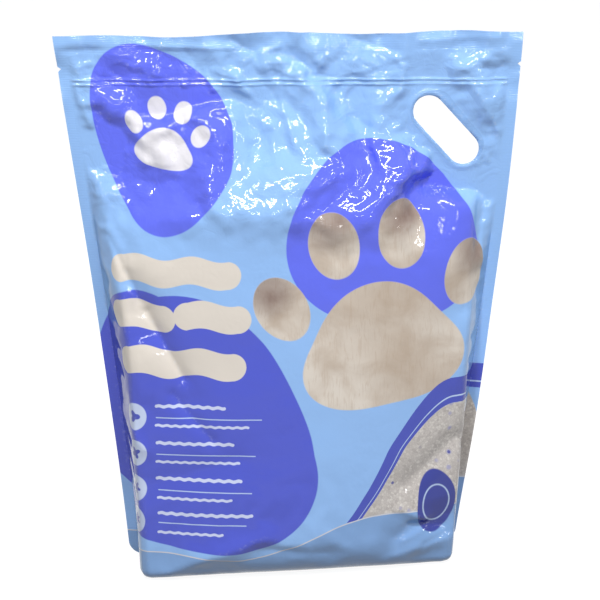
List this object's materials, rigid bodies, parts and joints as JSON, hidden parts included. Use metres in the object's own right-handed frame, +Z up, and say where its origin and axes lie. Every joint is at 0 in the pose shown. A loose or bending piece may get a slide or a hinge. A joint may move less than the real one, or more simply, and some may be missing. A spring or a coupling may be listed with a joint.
{
  "type": "cat litter bag",
  "caption": "Sealed stand-up film pouch filled with litter granules, with a press zip, side seals and a slanted hand slot.",
  "frame": {"origin": "on the floor, under the middle of the pouch's box", "axes": "+Z up, +X to the right of someone facing the front, front towards -Y"},
  "size_m": [0.42, 0.1674, 0.4966],
  "materials": {
    "printed_film": "glossy laminated film, printed in sky blue and periwinkle"
  },
  "bodies": {
    "root": {"pouch": "printed_film"}
  },
  "joints": []
}
